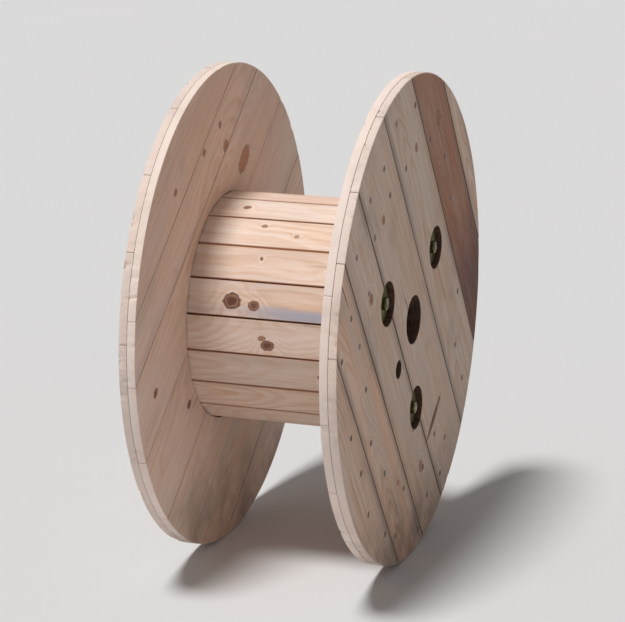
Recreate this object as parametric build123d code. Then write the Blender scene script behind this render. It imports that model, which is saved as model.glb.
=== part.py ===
from build123d import *
from math import cos, hypot, pi, sin, tan
import os

# Wooden cable drum: two flanges of crossed boards, a barrel of flat staves and three tie rods.
# Millimetres, +Z up. The drum's axis lies along X and it stands on the rims of both flanges.
# The origin is on the floor, under the middle of the drum.

# Flanges: each is an inner and an outer ply of boards, laid at right angles to each other
FLANGE_DIAMETER = 800.0
INNER_PLY = 14.0
OUTER_PLY = 14.0
TRAVERSE = 293.0          # clear width between the flanges
BOARD_GAP = 1.0           # open joint between neighbouring boards
BOARD_TURN = 37.0         # how far the drum has rolled: the way across the outer boards, above level

# Boards of each ply from side to side: they share out the flange's diameter in these proportions
RIGHT_OUTER_BOARDS = (105, 112, 108, 155, 140, 125, 55)
RIGHT_INNER_BOARDS = (92, 124, 118, 132, 118, 146, 70)
LEFT_INNER_BOARDS = (96, 128, 116, 145, 125, 80, 110)
LEFT_OUTER_BOARDS = (100, 110, 120, 142, 143, 125, 60)

# Barrel: straight staves whose ends stand in a ring groove in each inner ply
BARREL_DIAMETER = 374.0   # across the flat outer faces of the staves
STAVE_COUNT = 20
STAVE_THICKNESS = 20.0
STAVE_SIDE_GAP = 0.4      # between the inner edges of two staves
GROOVE_DEPTH = 7.0
GROOVE_PLAY = 0.3         # between the staves and the walls of the groove

# Holes through each flange
SPINDLE_HOLE = 80.0
DRIVE_HOLE = 30.0
DRIVE_OFFSET = 103.0      # from the drum's axis, on the side away from the first tie rod

# Three tie rods, each with a washer and a nut sunk into a recess in the outer ply at both ends
TIE_COUNT = 3
ROD_DIAMETER = 12.0
ROD_TO_STAVES = 6.0       # clear space between a rod and the inner face of the staves
ROD_HOLE_PLAY = 0.5       # on the radius of the rod's hole
RECESS_DIAMETER = 72.0
WASHER_DIAMETER = 62.0
WASHER_THICKNESS = 4.0
NUT_ACROSS_FLATS = 19.0
NUT_HEIGHT = 8.0
ROD_STAND = 1.0           # the rod's end beyond its nut

# Worked-out sizes
RADIUS = FLANGE_DIAMETER / 2
FLANGE = INNER_PLY + OUTER_PLY
FACE_X = TRAVERSE / 2     # inner face of a flange, from the middle of the drum
SEAM_X = FACE_X + INNER_PLY
END_X = FACE_X + FLANGE
STAVE_SLICE = 360.0 / STAVE_COUNT
STAVE_OUT = BARREL_DIAMETER / 2
STAVE_IN = STAVE_OUT - STAVE_THICKNESS
STAVE_WIDTH = 2 * STAVE_IN * tan(pi / STAVE_COUNT) - STAVE_SIDE_GAP
STAVE_LENGTH = TRAVERSE + 2 * GROOVE_DEPTH
GROOVE_OUT = hypot(STAVE_OUT, STAVE_WIDTH / 2) + GROOVE_PLAY
GROOVE_IN = STAVE_IN - GROOVE_PLAY
TIE_OFFSET = STAVE_IN - ROD_TO_STAVES - ROD_DIAMETER / 2
ROD_LENGTH = 2 * (SEAM_X + WASHER_THICKNESS + NUT_HEIGHT + ROD_STAND)


def disc_plane(x):
    """The plane across the drum at x: local X points along +Y and local Y points up."""
    return Plane(origin=(x, 0, RADIUS), x_dir=(0, 1, 0), z_dir=(1, 0, 0))


def turned(angle, distance):
    """A point at that distance from the axis, turned from level."""
    angle = angle * pi / 180
    return (distance * cos(angle), distance * sin(angle))


TIE_POINTS = [turned(BOARD_TURN + 360.0 * i / TIE_COUNT, TIE_OFFSET) for i in range(TIE_COUNT)]
DRIVE_POINT = turned(BOARD_TURN + 180.0, DRIVE_OFFSET)


def board_edges(shares):
    """Both edges of every board of a ply, from side to side of the flange."""
    edges = [-RADIUS]
    for share in shares:
        edges.append(edges[-1] + FLANGE_DIAMETER * share / sum(shares))
    return list(zip(edges, edges[1:]))


def through_holes():
    """The spindle hole and the drive hole, which go through both plies."""
    return Circle(SPINDLE_HOLE / 2) + Pos(*DRIVE_POINT) * Circle(DRIVE_HOLE / 2)


def tie_holes(diameter):
    """One round hole at each tie rod."""
    return Sketch() + [Pos(*point) * Circle(diameter / 2) for point in TIE_POINTS]


def ply_boards(edges, angle, holes, x, thickness):
    """The boards of one ply as solids: strips of a holed disc, side by side across the angle."""
    blank = Circle(RADIUS) - through_holes() - holes
    boards = []
    for low, high in edges:
        width = high - low - BOARD_GAP
        strip = Rot(0, 0, angle) * Pos((low + high) / 2, 0) * Rectangle(width, 2.2 * RADIUS)
        boards.append(extrude(disc_plane(x) * (blank & strip), thickness))
    return boards


def stave_groove(side):
    """The ring cut out of an inner ply for the ends of the staves; side is 1 or -1 along X."""
    ring = Circle(GROOVE_OUT) - Circle(GROOVE_IN)
    start = FACE_X if side > 0 else -FACE_X - GROOVE_DEPTH
    return extrude(disc_plane(start) * ring, GROOVE_DEPTH)


def flange_boards(side, inner, outer):
    """Both plies of one flange, as lists of solids: the inner boards and the outer boards."""
    rod_hole = tie_holes(ROD_DIAMETER + 2 * ROD_HOLE_PLAY)
    inner_x = FACE_X if side > 0 else -SEAM_X
    outer_x = SEAM_X if side > 0 else -END_X
    groove = stave_groove(side)
    inner_boards = [
        board - groove
        for board in ply_boards(board_edges(inner), BOARD_TURN + 90, rod_hole, inner_x, INNER_PLY)
    ]
    recess = tie_holes(RECESS_DIAMETER)
    outer_boards = ply_boards(board_edges(outer), BOARD_TURN, recess, outer_x, OUTER_PLY)
    return inner_boards, outer_boards


def staves():
    """Straight planks round the barrel; the first one lies flat on top."""
    plank = Pos(STAVE_OUT - STAVE_THICKNESS / 2, 0) * Rectangle(STAVE_THICKNESS, STAVE_WIDTH)
    start = disc_plane(-STAVE_LENGTH / 2)
    return [
        extrude(start * (Rot(0, 0, 90 - i * STAVE_SLICE) * plank), STAVE_LENGTH)
        for i in range(STAVE_COUNT)
    ]


def tie_rods():
    """Plain round rods from nut to nut."""
    start = disc_plane(-ROD_LENGTH / 2)
    return [extrude(start * (Pos(*p) * Circle(ROD_DIAMETER / 2)), ROD_LENGTH) for p in TIE_POINTS]


def washers(side):
    """The washers on the floors of one flange's recesses."""
    ring = Circle(WASHER_DIAMETER / 2) - Circle(ROD_DIAMETER / 2 + ROD_HOLE_PLAY)
    start = disc_plane(SEAM_X if side > 0 else -SEAM_X - WASHER_THICKNESS)
    return [extrude(start * (Pos(*p) * ring), WASHER_THICKNESS) for p in TIE_POINTS]


def nuts(side):
    """The hexagon nuts on one flange's washers; each grips its rod."""
    corner = NUT_ACROSS_FLATS / 2 / cos(pi / 6)
    hexagon = RegularPolygon(corner, 6) - Circle(ROD_DIAMETER / 2)
    seat = SEAM_X + WASHER_THICKNESS
    start = disc_plane(seat if side > 0 else -seat - NUT_HEIGHT)
    return [extrude(start * (Pos(*p) * hexagon), NUT_HEIGHT) for p in TIE_POINTS]


def write(name, *solids):
    """One STEP file for one node."""
    shape = solids[0] if len(solids) == 1 else Compound(children=list(solids))
    export_step(shape, f"parts/{name}.step")


def main():
    os.makedirs("parts", exist_ok=True)
    flanges = {
        "right": (1, RIGHT_INNER_BOARDS, RIGHT_OUTER_BOARDS),
        "left": (-1, LEFT_INNER_BOARDS, LEFT_OUTER_BOARDS),
    }
    for name, (side, inner, outer) in flanges.items():
        inner_boards, outer_boards = flange_boards(side, inner, outer)
        for number, board in enumerate(inner_boards, 1):
            write(f"{name}_inner_board_{number}", board)
        for number, board in enumerate(outer_boards, 1):
            write(f"{name}_outer_board_{number}", board)
        write(f"{name}_tie_washers", *washers(side))
        write(f"{name}_tie_nuts", *nuts(side))
    for number, stave in enumerate(staves(), 1):
        write(f"stave_{number:02d}", stave)
    for number, rod in enumerate(tie_rods(), 1):
        write(f"tie_rod_{number}", rod)


main()
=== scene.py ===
"""The looks of a wooden cable drum: sawn pine boards and staves, nails, and zinc-plated tie rods.

Metres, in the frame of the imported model: +X along the drum's axis, +Z up, the floor at z = 0.
"""
from dataclasses import dataclass, field
import math
import random

import bmesh
import bpy
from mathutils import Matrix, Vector, noise
from mathutils.bvhtree import BVHTree


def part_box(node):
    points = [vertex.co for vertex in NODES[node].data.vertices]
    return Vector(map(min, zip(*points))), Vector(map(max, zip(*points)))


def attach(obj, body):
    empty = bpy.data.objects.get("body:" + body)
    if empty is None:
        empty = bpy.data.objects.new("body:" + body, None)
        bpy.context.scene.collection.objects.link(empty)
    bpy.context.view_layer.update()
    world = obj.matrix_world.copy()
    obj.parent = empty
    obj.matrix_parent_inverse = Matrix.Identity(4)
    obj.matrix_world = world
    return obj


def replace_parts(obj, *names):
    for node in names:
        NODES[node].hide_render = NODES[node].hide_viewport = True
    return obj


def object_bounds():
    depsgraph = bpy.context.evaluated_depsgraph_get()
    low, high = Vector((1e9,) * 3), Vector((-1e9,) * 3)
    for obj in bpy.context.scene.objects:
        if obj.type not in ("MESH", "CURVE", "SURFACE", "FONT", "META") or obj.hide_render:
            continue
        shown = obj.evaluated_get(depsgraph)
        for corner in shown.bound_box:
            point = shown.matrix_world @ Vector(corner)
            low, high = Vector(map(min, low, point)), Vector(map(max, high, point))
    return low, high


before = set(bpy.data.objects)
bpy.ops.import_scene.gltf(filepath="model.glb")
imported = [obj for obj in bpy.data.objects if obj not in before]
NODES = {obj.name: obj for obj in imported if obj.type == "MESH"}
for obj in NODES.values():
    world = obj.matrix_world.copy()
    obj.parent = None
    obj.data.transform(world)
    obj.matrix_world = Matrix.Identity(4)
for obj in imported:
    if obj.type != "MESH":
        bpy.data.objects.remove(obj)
CAD_BOX = [list(corner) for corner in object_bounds()]
MM = 0.001

# The drum's own sizes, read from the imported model
RADIUS = CAD_BOX[1][2] / 2
CENTRE = Vector((0, 0, RADIUS))
END_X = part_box("right_outer_board_4")[1].x
SEAM_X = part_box("right_outer_board_4")[0].x
FACE_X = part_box("right_inner_board_4")[0].x
STAVES = sorted(name for name in NODES if name.startswith("stave_"))
RODS = sorted(name for name in NODES if name.startswith("tie_rod_"))
ROD_MIDDLES = [(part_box(name)[0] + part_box(name)[1]) / 2 for name in RODS]
BARREL_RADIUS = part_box("stave_01")[1].z - RADIUS
STAVE_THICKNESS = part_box("stave_01")[1].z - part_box("stave_01")[0].z
STAVE_HALF_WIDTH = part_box("stave_01")[1].y

# Two that no node's box gives: the recesses round the tie rods, and how far the drum has rolled
RECESS_RADIUS = 36 * MM
BOARD_TURN = math.radians(37)

# Directions: level and up in the plane of a flange, and along the drum
LEVEL = Vector((0, 1, 0))
UP = Vector((0, 0, 1))
AXIS = Vector((1, 0, 0))


def outward(angle):
    """The direction away from the drum's axis at that angle from level."""
    return LEVEL * math.cos(angle) + UP * math.sin(angle)


# Across the boards of an outer ply and of an inner one
ACROSS_OUTER = outward(BOARD_TURN)
ACROSS_INNER = UP * math.cos(BOARD_TURN) - LEVEL * math.sin(BOARD_TURN)


def reach(point):
    """How far a point is from the drum's axis."""
    return math.hypot(point.y, point.z - RADIUS)


# Small helpers for shader nodes

BUMP_STRENGTH = 0.6


class Shader:
    """A material's node tree, with short calls for the nodes that the finishes use."""

    def __init__(self, name):
        self.material = bpy.data.materials.new(name)
        self.material.use_nodes = True
        self.tree = self.material.node_tree
        self.surface = self.tree.nodes["Principled BSDF"]
        self.object_point = self.tree.nodes.new("ShaderNodeTexCoord").outputs["Object"]

    def put(self, socket, value):
        """Link a node's output to a socket, or set the socket to a constant."""
        if isinstance(value, bpy.types.NodeSocket):
            self.tree.links.new(value, socket)
        elif socket.type == "RGBA" and len(value) == 3:
            socket.default_value = (*value, 1)
        else:
            socket.default_value = value

    def math(self, operation, *values):
        node = self.tree.nodes.new("ShaderNodeMath")
        node.operation = operation
        for socket, value in zip(node.inputs, values):
            self.put(socket, value)
        return node.outputs[0]

    def vector(self, operation, *values):
        node = self.tree.nodes.new("ShaderNodeVectorMath")
        node.operation = operation
        for socket, value in zip(node.inputs, values):
            self.put(socket, value)
        return node.outputs["Value" if operation in ("DOT_PRODUCT", "LENGTH") else "Vector"]

    def combine(self, x, y, z):
        node = self.tree.nodes.new("ShaderNodeCombineXYZ")
        for socket, value in zip(node.inputs, (x, y, z)):
            self.put(socket, value)
        return node.outputs[0]

    def noise(self, point, stretch=(1.0, 1.0, 1.0), scale=1.0, detail=3.0, roughness=0.55):
        node = self.tree.nodes.new("ShaderNodeTexNoise")
        self.put(node.inputs["Vector"], self.vector("MULTIPLY", point, stretch))
        node.inputs["Scale"].default_value = scale
        node.inputs["Detail"].default_value = detail
        node.inputs["Roughness"].default_value = roughness
        return node.outputs["Fac"]

    def remap(self, value, low, high, to_low=0.0, to_high=1.0):
        """Smoothly turn the range from low to high into another one."""
        node = self.tree.nodes.new("ShaderNodeMapRange")
        node.interpolation_type = "SMOOTHSTEP"
        for socket, item in zip(node.inputs, (value, low, high, to_low, to_high)):
            self.put(socket, item)
        return node.outputs[0]

    def mix(self, factor, first, second, blend="MIX"):
        node = self.tree.nodes.new("ShaderNodeMix")
        node.data_type = "RGBA"
        node.blend_type = blend
        self.put(node.inputs[0], factor)
        self.put(node.inputs[6], first)
        self.put(node.inputs[7], second)
        return node.outputs[2]

    def finish(self, colour, roughness, height, depth, metallic=0.0):
        """Join colour, roughness and a bump of that depth to the surface."""
        bump = self.tree.nodes.new("ShaderNodeBump")
        bump.inputs["Distance"].default_value = depth
        bump.inputs["Strength"].default_value = BUMP_STRENGTH
        self.put(bump.inputs["Height"], height)
        self.put(self.surface.inputs["Normal"], bump.outputs[0])
        self.put(self.surface.inputs["Base Color"], colour)
        self.put(self.surface.inputs["Roughness"], roughness)
        self.surface.inputs["Metallic"].default_value = metallic
        return self.material


def srgb(red, green, blue):
    """A colour as it looks on screen, from 0 to 255, as the shader's linear values."""
    def linear(value):
        value /= 255
        return value / 12.92 if value <= 0.04045 else ((value + 0.055) / 1.055) ** 2.4
    return (linear(red), linear(green), linear(blue))


# Colours of the pine and of the rust
# The inner boards' pale tone is raised a little as painted light, and the outer boards' weathered
# tone is darkened a little as painted shade
PALE_AND_LIT = srgb(240, 220, 209)
WEATHERED_AND_SHADED = srgb(206, 187, 175)
CREAM = srgb(242, 224, 212)
WARM = srgb(226, 194, 174)
BROWN = srgb(160, 112, 86)
# A board's darker low end: partly its own wood, partly painted shade
DARK_END_AND_SHADE = srgb(84, 44, 32)
GREYED = srgb(184, 172, 166)
# A painted highlight on the rim of the flanges
RIM_HIGHLIGHT_TONE = srgb(247, 231, 222)
BLUE_STAIN = srgb(168, 166, 178)
# Dirt; near the floor it also stands for painted shade
DIRT_AND_SHADE = srgb(112, 96, 86)
# Painted shade in the joints between boards and on the side against the other ply
GAP_SHADE = srgb(88, 58, 42)
# A warm painted shade in the joints between staves
STAVE_GAP_SHADE = srgb(190, 126, 84)
SOUND_KNOT = srgb(184, 124, 80)
DEAD_KNOT = srgb(76, 38, 34)
CHECK = srgb(70, 46, 34)
RUST = srgb(86, 58, 40)

# Tints that a tone is multiplied by
WARM_TINT = (0.98, 0.92, 0.86)
LATEWOOD_TINT = (0.86, 0.72, 0.58)
STREAK_TINT = (0.90, 0.82, 0.74)
FIBRE_TINT = (0.90, 0.86, 0.82)

# Where dirt gathers, where shade and a highlight are painted, and where the tone changes
RIM_ZONE = 1.5 * MM       # this near the rim, the joints stay even, with no dirt or painted shade
RIM_HIGHLIGHT_DEPTH = 1.2 * MM      # how far the painted rim highlight reaches in
RIM_HIGHLIGHT_SHARE = 0.6
JOINT_DIRT_WIDTH = 18 * MM
SEAM_DEPTH = 6.3 * MM     # from the middle of a board to the side next to the other ply, which gets painted shade
GRIME_AND_SHADE_HEIGHT = 0.20       # above the floor, for grime and painted shade
GRIME_AND_SHADE = 0.65
CHECK_DEPTH = -1.5        # a height, where a latewood band is 0.3 high
RELIEF = 0.5 * MM         # for a height of 1


@dataclass
class Look:
    """What tells one board or stave from another, with places along and across it from its middle.

    Amounts run from 0 to 1. A knot is (along, across, half length, half width, darkness).
    """
    half_width: float                 # across, to the joints at its sides
    tone: tuple
    grain: float                      # how strong
    grey: float                       # how weathered
    checks: float                     # how deep its drying checks are
    joint_dirt_and_shade: float                 # how much dirt gathers along the joints; it also deepens their painted shade
    joint_shade_tone: tuple = GAP_SHADE     # painted shade on the sides in the joints
    joint_shade_edge: float = 1.5 * MM      # how far that painted shade comes round the edge
    knots: list = field(default_factory=list)
    stain: tuple = None               # across: from, to
    dark_from: float = None           # along: where it starts to darken to its low end, partly painted shade
    hidden: int = 0                   # side along X that lies against the other ply, which gets painted shade


def add_knots(shader, point, knots, uneven):
    """Masks of the knots: their wood, their dark parts, and how far the grain bends round them."""
    wood, dark, bend = 0.0, 0.0, 0.0
    for along, across, half_length, half_width, darkness in knots:
        gap = shader.vector("SUBTRACT", point, (along, across, 0.0))
        gap = shader.vector("MULTIPLY", gap, (1 / half_length, 1 / half_width, 0.12 / half_width))
        distance = shader.math("ADD", shader.vector("LENGTH", gap), uneven)
        wood = shader.math("MAXIMUM", wood, shader.remap(distance, 1.35, 0.8))
        core = shader.math("MULTIPLY", shader.remap(distance, 1.1, 0.5), darkness)
        bark = shader.remap(distance, 0.75, 1.0)
        bark = shader.math("MULTIPLY", bark, shader.remap(distance, 1.3, 1.05))
        core = shader.math("MAXIMUM", core, shader.math("MULTIPLY", bark, 0.4 + 0.6 * darkness))
        dark = shader.math("MAXIMUM", dark, core)
        push = min(half_length, half_width) * 1.2
        swing = shader.math("MULTIPLY", shader.remap(distance, 3.8, 0.5), push)
        bend = shader.math("ADD", bend, swing)
    return wood, dark, bend


def growth_rings(shader, own, axes, bend, dice):
    """Latewood bands round a pith that runs below the board, wanders and leans."""
    wander = shader.noise(own, (2.2, 5.0, 5.0), detail=2.0)
    ripple = shader.noise(own, (9.0, 60.0, 60.0), detail=2.0)
    lean = shader.math("MULTIPLY", axes[0], dice.choice((-1, 1)) * dice.uniform(0.02, 0.07))
    drift = shader.math("MULTIPLY", shader.math("SUBTRACT", wander, 0.5), 0.06)
    sideways = shader.math("ADD", axes[1], dice.uniform(-0.05, 0.05))
    below = shader.math("ADD", shader.math("ADD", axes[2], dice.uniform(0.03, 0.09)), drift)
    below = shader.math("ADD", below, lean)
    pith = shader.vector("LENGTH", shader.combine(0.0, sideways, below))
    pith = shader.math("ADD", pith, shader.math("MULTIPLY", ripple, 1.6 * MM))
    pith = shader.math("ADD", pith, bend)
    ring = shader.math("FRACT", shader.math("DIVIDE", pith, dice.uniform(3.4, 5.6) * MM))
    return shader.math("MULTIPLY", shader.remap(ring, 0.3, 0.86), shader.remap(ring, 1.0, 0.92))


def clear_wood(shader, own, look, late, streak, fibre, patches):
    """The colour of clear wood: slow changes, latewood, streaks, fibres and greyed patches."""
    slow = shader.noise(own, (2.5, 9.0, 9.0))
    warm = tuple(t * w for t, w in zip(look.tone, WARM_TINT))
    colour = shader.mix(shader.remap(slow, 0.32, 0.7), look.tone, warm)
    strength = shader.remap(slow, 0.25, 0.75, 0.3 * look.grain, look.grain)
    banding = shader.math("MULTIPLY", late, strength)
    colour = shader.mix(banding, colour, LATEWOOD_TINT, "MULTIPLY")
    streaks = shader.remap(streak, 0.35, 0.75, 0.0, look.grain)
    colour = shader.mix(streaks, colour, STREAK_TINT, "MULTIPLY")
    fibres = shader.remap(fibre, 0.35, 0.75, 0.0, 0.7)
    colour = shader.mix(fibres, colour, FIBRE_TINT, "MULTIPLY")
    return shader.mix(shader.remap(patches, 0.42, 0.75, 0.0, look.grey), colour, GREYED)


def add_stains(shader, look, colour, axes, streak, patches):
    """A band of blue stain along the piece, and a darker low end that is partly painted shade,
    where its look has them.
    """
    if look.stain is not None:
        low, high = look.stain
        edge = shader.math("MULTIPLY_ADD", shader.math("SUBTRACT", patches, 0.5), 0.03, axes[1])
        rising = shader.remap(edge, low, low + 9 * MM)
        falling = shader.remap(edge, high + 4 * MM, high)
        band = shader.math("MULTIPLY", rising, falling)
        band = shader.math("MULTIPLY", band, shader.remap(axes[0], -0.10, 0.04, 0.25, 1.0))
        band = shader.math("MULTIPLY", band, shader.remap(streak, 0.25, 0.6, 0.6, 1.0))
        colour = shader.mix(band, colour, BLUE_STAIN)
    # The darker low end: partly the board's own wood, partly painted shade
    if look.dark_from is not None:
        shift = shader.math("MULTIPLY", shader.math("SUBTRACT", patches, 0.5), 0.25)
        along = shader.math("ADD", axes[0], shift)
        dark = shader.remap(along, look.dark_from, look.dark_from - 0.22)
        colour = shader.mix(shader.math("MULTIPLY", dark, 0.85), colour, DARK_END_AND_SHADE)
    return colour


def add_rim_and_joints(shader, look, colour, middle, place, axes, patches):
    """The rim gets a painted highlight. Dirt gathers along the joints, and the sides in them and
    against the other ply get painted shade.
    """
    offset = middle - CENTRE
    from_axis = shader.vector("MULTIPLY", place, (0.0, 1.0, 1.0))
    from_axis = shader.vector("ADD", from_axis, (0.0, offset.y, offset.z))
    out = shader.vector("LENGTH", from_axis)
    # Painted highlight: the rim is mixed towards a paler tone
    inside = RADIUS - RIM_HIGHLIGHT_DEPTH
    rim = shader.remap(out, inside - 1 * MM, inside, 0.0, RIM_HIGHLIGHT_SHARE)
    colour = shader.mix(rim, colour, RIM_HIGHLIGHT_TONE)

    sideways = shader.math("ABSOLUTE", axes[1])
    on_face = shader.remap(out, RADIUS - RIM_ZONE, RADIUS - 4 * MM)
    start = look.half_width - JOINT_DIRT_WIDTH
    gathered = shader.remap(sideways, start, look.half_width, 0.0, look.joint_dirt_and_shade)
    gathered = shader.math("MULTIPLY", gathered, shader.remap(patches, 0.38, 0.62, 0.2, 1.0))
    colour = shader.mix(shader.math("MULTIPLY", gathered, on_face), colour, DIRT_AND_SHADE)
    # Painted shade on the sides in the joints, coming round their edges
    start, end = (look.half_width - share * look.joint_shade_edge for share in (1.0, 0.4))
    wall = shader.remap(sideways, start, end, 0.0, 0.3 + look.joint_dirt_and_shade)
    colour = shader.mix(shader.math("MULTIPLY", wall, on_face), colour, look.joint_shade_tone)

    # Painted shade on the side against the other ply, seen in the recesses and as a thin seam on
    # the rim
    if look.hidden:
        seam = shader.vector("DOT_PRODUCT", shader.object_point, (look.hidden, 0.0, 0.0))
        start = look.hidden * middle.x + SEAM_DEPTH
        shade = shader.remap(seam, start, start + 0.5 * MM, 0.0, 0.7)
        colour = shader.mix(shade, colour, GAP_SHADE)
    return colour


def add_grime_and_shade(shader, look, colour):
    """Grime and painted shade near the floor, darker towards the bottom, and faint marks all over.
    """
    height = shader.vector("DOT_PRODUCT", shader.object_point, (0.0, 0.0, 1.0))
    cloud = shader.noise(shader.object_point, scale=11.0, detail=6.0, roughness=0.62)
    # Near the floor: grime together with painted shade, darker towards the bottom
    low_grime_and_shade = shader.remap(height, GRIME_AND_SHADE_HEIGHT, 0.0)
    low_grime_and_shade = shader.math("MULTIPLY", low_grime_and_shade, shader.remap(cloud, 0.3, 0.65))
    colour = shader.mix(shader.math("MULTIPLY", low_grime_and_shade, GRIME_AND_SHADE), colour, DIRT_AND_SHADE)
    return shader.mix(shader.remap(cloud, 0.5, 0.76, 0.0, 0.55 * look.grey), colour, DIRT_AND_SHADE)


def pine(name, middle, along, across, depth, look, seed):
    """Sawn pine. along, across and depth are the piece's directions from its middle."""
    dice = random.Random(seed)
    shader = Shader(name)
    place = shader.vector("SUBTRACT", shader.object_point, tuple(middle))
    axes = [shader.vector("DOT_PRODUCT", place, tuple(d)) for d in (along, across, depth)]
    point = shader.combine(*axes)
    own = shader.vector("ADD", point, [dice.uniform(-9, 9) for _ in range(3)])
    lumps = shader.noise(own, scale=130.0)
    uneven = shader.math("MULTIPLY", shader.math("SUBTRACT", lumps, 0.5), 0.7)
    knot_wood, knot_dark, bend = add_knots(shader, point, look.knots, uneven)
    late = growth_rings(shader, own, axes, bend, dice)
    streak = shader.noise(own, (6.0, 150.0, 150.0), detail=4.0)
    fibre = shader.noise(own, (40.0, 1300.0, 1300.0), detail=2.0)
    patches = shader.noise(own, (3.0, 14.0, 14.0), detail=5.0, roughness=0.65)

    colour = clear_wood(shader, own, look, late, streak, fibre, patches)
    colour = add_stains(shader, look, colour, axes, streak, patches)
    if look.knots:
        colour = shader.mix(shader.math("MULTIPLY", knot_wood, 0.85), colour, SOUND_KNOT)
        colour = shader.mix(shader.math("MULTIPLY", knot_dark, 0.9), colour, DEAD_KNOT)

    # Drying checks along the grain
    split = shader.remap(shader.noise(own, (3.0, 120.0, 120.0), detail=1.0), 0.72, 0.75)
    split = shader.math("MULTIPLY", split, shader.remap(patches, 0.45, 0.6))
    split = shader.math("MULTIPLY", split, look.checks)
    colour = shader.mix(split, colour, CHECK)
    colour = add_rim_and_joints(shader, look, colour, middle, place, axes, patches)
    colour = add_grime_and_shade(shader, look, colour)

    # Relief: latewood stands proud of the earlywood, and saw lines run across the piece
    saw = shader.noise(own, (420.0, 9.0, 9.0), detail=1.0)
    relief = shader.math("MULTIPLY_ADD", late, 0.3, shader.math("MULTIPLY", fibre, 0.35))
    relief = shader.math("MULTIPLY_ADD", saw, 0.4, relief)
    relief = shader.math("MULTIPLY_ADD", split, CHECK_DEPTH, relief)
    return shader.finish(colour, shader.remap(streak, 0.2, 0.8, 0.62, 0.84), relief, RELIEF)


def hole_wall_in_shade():
    """Cross-cut wood in the holes, with painted shade that makes it dark brown."""
    shader = Shader("pine_hole_wall")
    cloud = shader.noise(shader.object_point, scale=90.0, detail=5.0, roughness=0.65)
    # Painted shade: dark browns that stand for the shade inside the holes
    colour = shader.mix(shader.remap(cloud, 0.35, 0.7), srgb(92, 62, 44), srgb(52, 33, 25))
    return shader.finish(colour, 0.85, cloud, 0.4 * MM)


def plated(name, tone, darker, seed, metallic):
    """Zinc plate or plain steel, dulled and spotted with rust."""
    dice = random.Random(seed)
    shader = Shader(name)
    own = shader.vector("ADD", shader.object_point, (dice.uniform(-9, 9), 0.0, 0.0))
    cloud = shader.noise(own, scale=60.0, detail=5.0, roughness=0.6)
    spots = shader.noise(own, scale=420.0, roughness=0.7)
    colour = shader.mix(shader.remap(cloud, 0.35, 0.7), tone, darker)
    colour = shader.mix(shader.remap(spots, 0.58, 0.76, 0.0, 0.8), colour, RUST)
    roughness = shader.remap(cloud, 0.3, 0.7, 0.34, 0.56)
    return shader.finish(colour, roughness, spots, 0.08 * MM, metallic)


# Boards and staves: the CAD solids with worn edges, uneven gaps and slightly uneven faces

EDGE_WEAR = 1.3 * MM             # outer boards
INNER_EDGE_WEAR = 0.5 * MM
STAVE_EDGE_WEAR = 0.9 * MM
SHARP = math.radians(35)         # edges sharper than this are rounded
STAVE_LEAN = 1.7 * MM            # how far each side of a stave leans out at its outer face
TOUCH = 0.2 * MM                 # points this near a face or a side belong to it
LONG_CHORD = 12 * MM             # chords of the rim longer than this are cut
CHORD_RISE = 6 * MM              # the middle of a chord lies less than this inside the rim
RIM_CUTS = 4                     # new points on each long chord
RIM_INSET = 0.15 * MM            # how far inside the true circle they stay
DENT_BAND = 2.5 * MM             # dents are this near the rim
DENT_DEPTH = 1.8 * MM
DENT_SCALES = (55, 190)          # coarse and fine
DENT_START = 0.32                # knocks weaker than this leave no dent
FACE_SETBACK = (0.4, 1.1)        # how far back a board's free face lies, in millimetres

# How much each side of a board is cut back; below zero, the board is that much wider
OUTER_TRIM = (0.0, 0.9 * MM)
INNER_TRIM = (-0.44 * MM, -0.25 * MM)


def add_piece(name, mesh, slot, *materials):
    """A new object of the drum, made from a worked mesh and riding on its one body."""
    data = bpy.data.meshes.new(name)
    mesh.to_mesh(data)
    mesh.free()
    for material in materials:
        data.materials.append(material)
    piece = bpy.data.objects.new(name, data)
    bpy.context.scene.collection.objects.link(piece)
    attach(piece, "root")
    return piece


def clean_copy(node):
    """A CAD node's mesh with its triangles merged back into whole faces."""
    mesh = bmesh.new()
    mesh.from_mesh(NODES[node].data)
    bmesh.ops.remove_doubles(mesh, verts=mesh.verts, dist=0.005 * MM)
    bmesh.ops.dissolve_limit(
        mesh, angle_limit=math.radians(0.5), verts=mesh.verts, edges=mesh.edges)
    return mesh


def is_long_chord(edge):
    """Whether an edge is a long chord of the flange's rim."""
    first, second = (vert.co for vert in edge.verts)
    on_rim = min(reach(first), reach(second)) > RADIUS - 0.6 * MM
    near_rim = reach((first + second) / 2) > RADIUS - CHORD_RISE
    square = abs(first.x - second.x) < 0.1 * MM
    return on_rim and near_rim and square and edge.calc_length() > LONG_CHORD


def refine_rim(mesh):
    """Cut the long chords of the flange's rim and put the new points next to the true circle."""
    chords = [edge for edge in mesh.edges if is_long_chord(edge)]
    made = bmesh.ops.bisect_edges(mesh, edges=chords, cuts=RIM_CUTS)
    for vert in (v for v in made["geom_split"] if isinstance(v, bmesh.types.BMVert)):
        arm = Vector((0, vert.co.y, vert.co.z - RADIUS))
        arm *= (RADIUS - RIM_INSET) / arm.length
        vert.co = (vert.co.x, arm.y, arm.z + RADIUS)


def ease_edges(mesh, width):
    """Round the sharp edges, as handling and the saw leave them."""
    sharp = [e for e in mesh.edges if len(e.link_faces) == 2 and e.calc_face_angle(0) > SHARP]
    bmesh.ops.bevel(
        mesh, geom=sharp, offset=width, offset_type="OFFSET", segments=2, profile=0.6,
        affect="EDGES", clamp_overlap=True,
    )
    bmesh.ops.triangulate(mesh, faces=[f for f in mesh.faces if len(f.verts) > 4])


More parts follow.
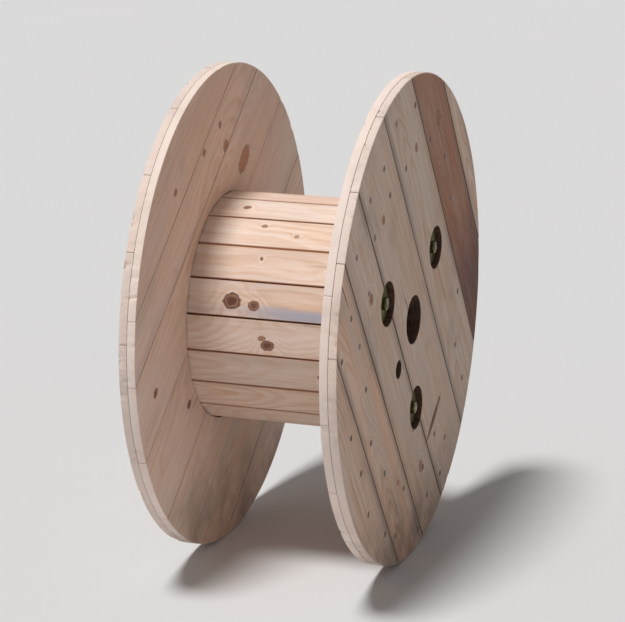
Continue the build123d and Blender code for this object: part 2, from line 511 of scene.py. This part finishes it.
def wear_rim(mesh):
    """Dent and flatten the edges of the rim in places, where the drum has rolled and knocked."""
    for vert in mesh.verts:
        out = reach(vert.co)
        if out > RADIUS - DENT_BAND:
            coarse, fine = (noise.noise(vert.co * scale) for scale in DENT_SCALES)
            depth = max(0.0, coarse + 0.4 * fine - DENT_START) * 6 * MM
            arm = Vector((0, vert.co.y, vert.co.z - RADIUS)) / out
            vert.co -= arm * min(depth, DENT_DEPTH)


def uneven_board(mesh, side, outer, across, dice):
    """Make the joints uneven and set the free face a little back; returns the board's new sides."""
    edges = [(v.co - CENTRE).dot(across) for v in mesh.verts]
    low, high = min(edges), max(edges)
    least, most = OUTER_TRIM if outer else INNER_TRIM
    trim_low, trim_high = dice.uniform(least, most), dice.uniform(least, most)
    setback = dice.uniform(*FACE_SETBACK) * MM
    high_share = dice.uniform(0.6, 1.0)
    free_x = side * (END_X if outer else FACE_X)
    inwards = -side if outer else side
    for vert, place in zip(mesh.verts, edges):
        if reach(vert.co) < RADIUS - RIM_ZONE:
            if place < low + TOUCH:
                vert.co += across * trim_low
            if place > high - TOUCH:
                vert.co -= across * trim_high
        if abs(vert.co.x - free_x) < TOUCH:
            share = high_share if place > (low + high) / 2 else 1.0
            vert.co.x += inwards * setback * share
    return low + trim_low, high - trim_high


# Where the walls of holes are: off the sides and the rim of a board, or at a recess
OFF_SIDES = 2 * MM
OFF_RIM = 3 * MM
AT_RECESS = RECESS_RADIUS + 1.5 * MM


def mark_holes(mesh, across, low, high):
    """Give the walls of holes and recesses the board's second material, dark wood with painted
    shade.
    """
    for face in mesh.faces:
        middle = face.calc_center_median()
        place = (middle - CENTRE).dot(across)
        off_sides = low + OFF_SIDES < place < high - OFF_SIDES
        inside = off_sides and reach(middle) < RADIUS - OFF_RIM
        recess = any(math.dist(middle.yz, rod.yz) < AT_RECESS for rod in ROD_MIDDLES)
        if (inside or recess) and abs(face.normal.x) < 0.5:
            face.material_index = 1


# What the boards are like: tones, knots and marks, along and across from the drum's axis
TONES = {
    "right_outer_board_6": BROWN,
    "right_outer_board_2": WARM,
    "left_outer_board_3": WARM,
}
KNOTS = {
    "left_inner_board_4": [(-0.219, 0.011, 7 * MM, 6 * MM, 0.7)],
    "left_inner_board_5": [
        (0.201, 0.137, 25 * MM, 14 * MM, 0.1),
        (-0.295, 0.140, 8 * MM, 6 * MM, 0.7),
    ],
    "left_inner_board_6": [
        (0.159, 0.264, 6 * MM, 5 * MM, 0.4),
        (0.082, 0.281, 6 * MM, 5 * MM, 0.4),
    ],
    "right_outer_board_4": [
        (-0.235, -0.022, 6 * MM, 42 * MM, 1.0),
        (0.262, -0.015, 7 * MM, 6 * MM, 0.4),
    ],
    "right_outer_board_3": [
        (-0.24, -0.12, 10 * MM, 8 * MM, 0.3),
        (0.21, -0.13, 9 * MM, 7 * MM, 0.6),
    ],
    "right_outer_board_6": [(0.17, 0.29, 13 * MM, 10 * MM, 0.6)],
}
# The board whose low end darkens, partly as painted shade
DARK_FROM = {"right_outer_board_6": 0.0}


def random_knot(dice, sizes, along, across):
    """A small knot, between two sizes in millimetres and within a reach of its piece's middle."""
    size = dice.uniform(*sizes) * MM
    place = (dice.uniform(-along, along), dice.uniform(-across, across))
    return (*place, size * 1.3, size, dice.uniform(0.1, 0.7))


def blend(first, second, share):
    """A tone between two, by the second one's share."""
    return tuple(a * (1 - share) + b * share for a, b in zip(first, second))


def board_look(node, side, outer, along, across, middle, half_width, dice):
    """A board's own knots and marks, with a few small knots at random."""
    offset = middle - CENTRE
    knots = [
        (a - offset.dot(along), c - offset.dot(across), *rest)
        for a, c, *rest in KNOTS.get(node, [])
    ]
    for _ in range(dice.choice((0, 1, 2) if outer else (0, 0, 1))):
        knots.append(random_knot(dice, (3, 8), 0.26, 0.035))
    share = dice.uniform(0.0, 0.5 if outer else 0.3)
    # Outer boards: weathered tone with a little painted shade; inner boards: pale tone with a
    # little painted light
    plain = blend(WEATHERED_AND_SHADED if outer else PALE_AND_LIT, WARM, share)
    grey = 0.25 if node in DARK_FROM else 0.5 if outer else 0.3
    return Look(
        tone=TONES.get(node, plain), grain=1.0 if outer else 0.6, grey=grey, knots=knots,
        dark_from=DARK_FROM.get(node), hidden=-side if outer else side, half_width=half_width,
        joint_dirt_and_shade=0.6 if outer else 0.05, joint_shade_edge=(1.5 if outer else 0.6) * MM,
        checks=0.9 if outer else 0.4,
    )


def build_board(name, side, layer, number, seed, wall):
    """One flange board, dressed."""
    dice = random.Random(seed)
    node = f"{name}_{layer}_board_{number}"
    outer = layer == "outer"
    across, along = (ACROSS_OUTER, ACROSS_INNER) if outer else (ACROSS_INNER, ACROSS_OUTER)
    mesh = clean_copy(node)
    refine_rim(mesh)
    low, high = uneven_board(mesh, side, outer, across, dice)
    ease_edges(mesh, (EDGE_WEAR if outer else INNER_EDGE_WEAR) * dice.uniform(0.8, 1.2))
    wear_rim(mesh)
    mark_holes(mesh, across, low, high)
    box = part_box(node)
    middle = CENTRE + across * (low + high) / 2 + AXIS * (box[0].x + box[1].x) / 2
    look = board_look(node, side, outer, along, across, middle, (high - low) / 2, dice)
    wood = pine(f"pine_{node}", middle, along, across, AXIS, look, seed)
    piece = add_piece(f"dressed_{node}", mesh, f"{layer}_boards", wood, wall)
    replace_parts(piece, node)
    return piece


BOARDS_IN_PLY = 7
SIDES = (("right", 1), ("left", -1))


def build_flanges():
    """Both plies of both flanges; returns the outer boards of each flange."""
    wall = hole_wall_in_shade()
    outer_boards = {}
    seed = 100
    for name, side in SIDES:
        for layer in ("inner", "outer"):
            pieces = []
            for number in range(1, BOARDS_IN_PLY + 1):
                seed += 7
                pieces.append(build_board(name, side, layer, number, seed, wall))
        outer_boards[name] = pieces
    return outer_boards


# What the staves are like: knots and a stain, along and across from each one's middle
STAVE_KNOTS = {
    "stave_20": [(-0.092, -0.003, 6 * MM, 5 * MM, 0.6)],
    "stave_18": [(-0.035, -0.010, 2.5 * MM, 3 * MM, 0.7)],
    "stave_17": [(-0.073, 0.004, 13 * MM, 11 * MM, 1.0), (-0.036, 0.009, 8 * MM, 7 * MM, 0.9)],
    "stave_16": [(-0.011, 0.012, 10 * MM, 7 * MM, 0.9), (-0.021, 0.001, 6 * MM, 4 * MM, 0.3)],
}
STAVE_STAIN = {"stave_17": (6 * MM, 27 * MM)}


def lean_sides(mesh, out, side):
    """Bevel the sides of a stave, so that the joints stay narrow up to its outer face."""
    for vert in mesh.verts:
        place = vert.co - CENTRE
        height = 1 - (BARREL_RADIUS - place.dot(out)) / STAVE_THICKNESS
        vert.co += side * math.copysign(STAVE_LEAN * height, place.dot(side))


def build_barrel():
    """The staves, in their groove between the flanges."""
    for index, node in enumerate(STAVES):
        seed = 700 + 11 * index
        dice = random.Random(seed)
        angle = math.radians(90 - index * 360 / len(STAVES))
        out = outward(angle)
        side = AXIS.cross(out)
        knots = list(STAVE_KNOTS.get(node, []))
        for _ in range(0 if knots else dice.choice((0, 0, 1, 2))):
            knots.append(random_knot(dice, (3, 6), 0.13, 0.015))
        # The joints between staves get a warm painted shade
        look = Look(
            tone=blend(CREAM, WARM, dice.uniform(0.0, 0.4)), grain=0.8, grey=0.12, knots=knots,
            stain=STAVE_STAIN.get(node), half_width=STAVE_HALF_WIDTH + STAVE_LEAN,
            joint_dirt_and_shade=0.1, joint_shade_tone=STAVE_GAP_SHADE, checks=0.3,
        )
        middle = CENTRE + out * (BARREL_RADIUS - STAVE_THICKNESS / 2)
        wood = pine(f"pine_{node}", middle, AXIS, side, out, look, seed)
        mesh = clean_copy(node)
        lean_sides(mesh, out, side)
        ease_edges(mesh, STAVE_EDGE_WEAR * dice.uniform(0.7, 1.2))
        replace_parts(add_piece(f"dressed_{node}", mesh, "staves", wood), node)


# Turned metal

def join_rings(mesh, rings, closed):
    """Lay faces between neighbouring rings of points; closed also joins the last to the first."""
    for ring, other in zip(rings, rings[1:] + (rings[:1] if closed else [])):
        for a in range(len(ring)):
            b = (a + 1) % len(ring)
            mesh.faces.new((ring[a], ring[b], other[b], other[a]))


def turn(mesh, profile, middle, segments, closed=False):
    """Add a body turned about the line along X through the middle; profile holds (x, radius)."""
    rings = []
    for x, radius in profile:
        ring = []
        for step in range(segments):
            out = outward(step * math.tau / segments)
            ring.append(mesh.verts.new(Vector((x, middle.y, middle.z)) + out * radius))
        rings.append(ring)
    join_rings(mesh, rings, closed)
    if not closed:
        mesh.faces.new(rings[0])
        mesh.faces.new(rings[-1])


# Nails through both plies, in two uneven rings

NAIL_RADIUS = 5.2 * MM
NAIL_DOME = 0.3 * MM
NAIL_SINK = 0.4 * MM
NAIL_SEGMENTS = 14
NAIL_RINGS = ((270 * MM, 18), (346 * MM, 24))
NAIL_SWING = 0.16         # how far off its even place along the ring, in steps
NAIL_DRIFT = 9            # how far off the ring, in millimetres
NAIL_SPACE = 55 * MM      # least distance between two
NAIL_EDGE = 11 * MM       # least distance from a joint

# Those seen on the right face, as millimetres level and up from the axis
SEEN_NAILS = [
    (-372, 27), (-254, -48), (-287, 29), (-327, -104), (-227, -142), (-277, -176), (-153, -214),
    (-49, -272), (-150, -317), (36, -371), (193, -256), (83, 282), (171, 239), (-168, 280),
]

# A head from below its board's face to the top of its dome: heights, and shares of its radius
NAIL_PROFILE = (
    (-NAIL_SINK, 1.0), (NAIL_DOME * 0.35, 1.0), (NAIL_DOME * 0.8, 0.8), (NAIL_DOME, 0.4),
)


def nail_places(seen, dice):
    """Where the nails are, as places in the plane of the flange."""
    places = [LEVEL * u * MM + UP * v * MM for u, v in seen]
    for radius, count in NAIL_RINGS:
        for step in range(count):
            angle = (step + dice.uniform(-NAIL_SWING, NAIL_SWING)) * math.tau / count
            place = outward(angle) * (radius + dice.uniform(-NAIL_DRIFT, NAIL_DRIFT) * MM)
            if all((place - other).length > NAIL_SPACE for other in places):
                places.append(place)
    return places


def board_under(trees, place, side):
    """Which outer board lies under a place in the plane of the flange, and the x of its face."""
    start = CENTRE + place + AXIS * side * (END_X + 0.05)
    for number, tree in enumerate(trees):
        hit = tree.ray_cast(start, -AXIS * side)[0]
        if hit is not None and abs(hit.x) > SEAM_X + 10 * MM:
            return number, hit.x
    return None, 0.0


def build_nails(name, side, boards, material):
    """The nail heads of one flange, each on the board under it and clear of the joints."""
    trees = []
    for board in boards:
        points = [v.co for v in board.data.vertices]
        trees.append(BVHTree.FromPolygons(points, [p.vertices for p in board.data.polygons]))
    seen, seed = (SEEN_NAILS, 31) if side > 0 else ([], 32)
    mesh = bmesh.new()
    for place in nail_places(seen, random.Random(seed)):
        number, surface = board_under(trees, place, side)
        steps = [ACROSS_OUTER * s * NAIL_EDGE for s in (-1, 1)]
        beside = {board_under(trees, place + step, side)[0] for step in steps}
        if number is not None and beside == {number}:
            profile = [(surface + side * x, share * NAIL_RADIUS) for x, share in NAIL_PROFILE]
            turn(mesh, profile, CENTRE + place, NAIL_SEGMENTS)
    bmesh.ops.recalc_face_normals(mesh, faces=mesh.faces)
    add_piece(f"{name}_nails", mesh, "tie_rods", material)


# Washers, nuts and rods, with the sizes of the plain ones

NUT_HALF = 9.5 * MM       # half across the flats
NUT_HEIGHT = 8 * MM
NUT_SIDES = 60            # points round it
NUT_CHAMFER = math.radians(30)
NUT_CROWN = 0.97          # share of the half that stays flat at both ends
MOUTH_DEPTH = 0.6 * MM
MOUTH_WIDTH = 0.7 * MM
BORE = 6 * MM             # on the radius
WASHER_PLAY = 0.5 * MM
WASHER_EDGE = 0.7 * MM
WASHER_SEGMENTS = 64


def add_nut(mesh, seat, middle, side):
    """A hexagon nut with both ends chamfered, seated at that x."""
    crown = NUT_CROWN * NUT_HALF
    mouth = BORE + MOUTH_WIDTH
    rings = [[] for _ in range(8)]
    for step in range(NUT_SIDES):
        angle = step * math.tau / NUT_SIDES
        corner = NUT_HALF / math.cos((angle % (math.pi / 3)) - math.pi / 6)
        drop = (corner - crown) * math.tan(NUT_CHAMFER)
        places = [
            (MOUTH_DEPTH, BORE), (0.0, mouth), (0.0, crown), (drop, corner),
            (NUT_HEIGHT - drop, corner), (NUT_HEIGHT, crown), (NUT_HEIGHT, mouth),
            (NUT_HEIGHT - MOUTH_DEPTH, BORE),
        ]
        for ring, (x, radius) in zip(rings, places):
            start = Vector((seat + side * x, middle.y, middle.z))
            ring.append(mesh.verts.new(start + outward(angle) * radius))
    join_rings(mesh, rings, True)


def build_ties(name, side, washer_finish, nut_finish):
    """Dressed washers and nuts of one flange in the places of the plain ones."""
    washer_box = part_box(f"{name}_tie_washers")
    ends = [abs(corner.x) for corner in washer_box]
    seat, top = side * min(ends), side * max(ends)
    rim = washer_box[1].z - max(middle.z for middle in ROD_MIDDLES)
    edge = [(0.0, BORE + WASHER_PLAY), (0.0, rim - WASHER_EDGE), (WASHER_EDGE, rim)]
    profile = [(seat + side * x, r) for x, r in edge] + [(top - side * x, r) for x, r in edge[::-1]]
    washers, nuts = bmesh.new(), bmesh.new()
    for middle in ROD_MIDDLES:
        turn(washers, profile, middle, WASHER_SEGMENTS, closed=True)
        add_nut(nuts, top, middle, side)
    parts = (("washers", washers, washer_finish), ("nuts", nuts, nut_finish))
    for part, mesh, finish in parts:
        bmesh.ops.recalc_face_normals(mesh, faces=mesh.faces)
        piece = add_piece(f"dressed_{name}_tie_{part}", mesh, f"zinc_{part}", finish)
        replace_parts(piece, f"{name}_tie_{part}")


THREAD_PITCH = 1.75 * MM
THREAD_LENGTH = 30 * MM
THREAD_DEPTH = 0.9 * MM
THREAD_SLOPE = 0.45       # share of the pitch from a groove to the next crest
TIP_LENGTH = 0.8 * MM     # from the end of the rod to its first groove
ROD_SEGMENTS = 32


def rod_profile(half, radius):
    """A rod end to end: chamfered tips, threads at both ends and a plain shank between them."""
    tip = [(half, radius - 1.2 * MM), (half - 0.5 * MM, radius - 0.2 * MM)]
    threads = []
    for number in range(int(THREAD_LENGTH / THREAD_PITCH)):
        start = half - TIP_LENGTH - number * THREAD_PITCH
        threads += [(start, radius - THREAD_DEPTH), (start - THREAD_PITCH * THREAD_SLOPE, radius)]
    right = tip + threads + [(half - THREAD_LENGTH - 2 * MM, radius)]
    return right + [(-x, r) for x, r in reversed(right)]


def build_rods(finish):
    """Dressed rods in the places of the plain ones."""
    for node, middle in zip(RODS, ROD_MIDDLES):
        low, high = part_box(node)
        mesh = bmesh.new()
        turn(mesh, rod_profile(high.x, (high.z - low.z) / 2), middle, ROD_SEGMENTS)
        bmesh.ops.recalc_face_normals(mesh, faces=mesh.faces)
        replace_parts(add_piece(f"dressed_{node}", mesh, "tie_rods", finish), node)


def build_hardware(outer_boards):
    """The dressed washers, nuts and rods, and the nails."""
    # Washers and nuts: olive zinc, darkened as painted shade of the recesses they sit in
    washer_finish = plated("zinc_washer_in_shade", srgb(98, 92, 42), srgb(58, 53, 30), 5, 0.7)
    nut_finish = plated("zinc_nut_in_shade", srgb(116, 110, 56), srgb(72, 68, 36), 6, 0.8)
    rod_finish = plated("rod_steel", srgb(138, 134, 126), srgb(92, 84, 78), 7, 0.85)
    nail_finish = plated("nail_steel", srgb(92, 72, 58), srgb(62, 42, 32), 8, 0.2)
    for name, side in SIDES:
        build_ties(name, side, washer_finish, nut_finish)
        build_nails(name, side, outer_boards[name], nail_finish)
    build_rods(rod_finish)


# Floor, light and camera

PHOTO_SIZE = (625, 622)
CAMERA_PLACE = Vector((1.280, -3.731, 1.419))
CAMERA_AIM = Vector((0.0, 0.0, 0.40))
FOCAL_PIXELS = 2480.0
SENSOR = 36.0
LIGHT_FROM = Vector((-0.18, -0.29, 0.94))
KEY_STRENGTH = 2.7
KEY_SPREAD = math.radians(14)
FILL = 0.22
BACKDROP = (0.69, 0.69, 0.69, 1)
FLOOR_SIZE = 400
FLOOR_TONES = ((0.65, 0.65, 0.65), (0.69, 0.685, 0.68))


def build_stage():
    """A plain pale floor that reaches past the horizon."""
    bpy.ops.mesh.primitive_plane_add(size=FLOOR_SIZE)
    floor = bpy.context.object
    floor.name = "floor"
    shader = Shader("floor_pale")
    cloud = shader.noise(shader.object_point, scale=1.4, detail=4.0)
    colour = shader.mix(cloud, *FLOOR_TONES)
    floor.data.materials.append(shader.finish(colour, 0.9, cloud, 0.1 * MM))


def build_light():
    """One broad key from above, at the camera's left, and even light from all round."""
    data = bpy.data.lights.new("key", "SUN")
    data.energy = KEY_STRENGTH
    data.angle = KEY_SPREAD
    key = bpy.data.objects.new("key", data)
    bpy.context.scene.collection.objects.link(key)
    key.rotation_euler = LIGHT_FROM.to_track_quat("Z", "Y").to_euler()
    world = bpy.data.worlds.new("studio")
    bpy.context.scene.world = world
    world.use_nodes = True
    tree = world.node_tree
    light = tree.nodes["Background"]
    light.inputs["Color"].default_value = (1.0, 0.98, 0.98, 1)
    light.inputs["Strength"].default_value = FILL
    white = tree.nodes.new("ShaderNodeBackground")
    white.inputs["Color"].default_value = BACKDROP

    # The camera, metal and glass see the backdrop; all else gets the fill light
    path = tree.nodes.new("ShaderNodeLightPath")
    seen = path.outputs["Is Camera Ray"]
    for ray in ("Is Glossy Ray", "Is Transmission Ray"):
        either = tree.nodes.new("ShaderNodeMath")
        either.operation = "MAXIMUM"
        tree.links.new(seen, either.inputs[0])
        tree.links.new(path.outputs[ray], either.inputs[1])
        seen = either.outputs[0]
    choose = tree.nodes.new("ShaderNodeMixShader")
    tree.links.new(seen, choose.inputs[0])
    tree.links.new(light.outputs[0], choose.inputs[1])
    tree.links.new(white.outputs[0], choose.inputs[2])
    tree.links.new(choose.outputs[0], tree.nodes["World Output"].inputs["Surface"])


def build_camera():
    """The photograph's point of view, aimed at the middle of the drum."""
    data = bpy.data.cameras.new("camera")
    data.sensor_width = SENSOR
    data.lens = FOCAL_PIXELS * SENSOR / max(PHOTO_SIZE)
    camera = bpy.data.objects.new("camera", data)
    bpy.context.scene.collection.objects.link(camera)
    camera.location = CAMERA_PLACE
    camera.rotation_euler = (CAMERA_AIM - CAMERA_PLACE).to_track_quat("-Z", "Y").to_euler()
    bpy.context.scene.camera = camera


outer_boards = build_flanges()
build_barrel()
build_hardware(outer_boards)
build_stage()
build_light()
build_camera()
bpy.context.scene.view_settings.view_transform = "Standard"
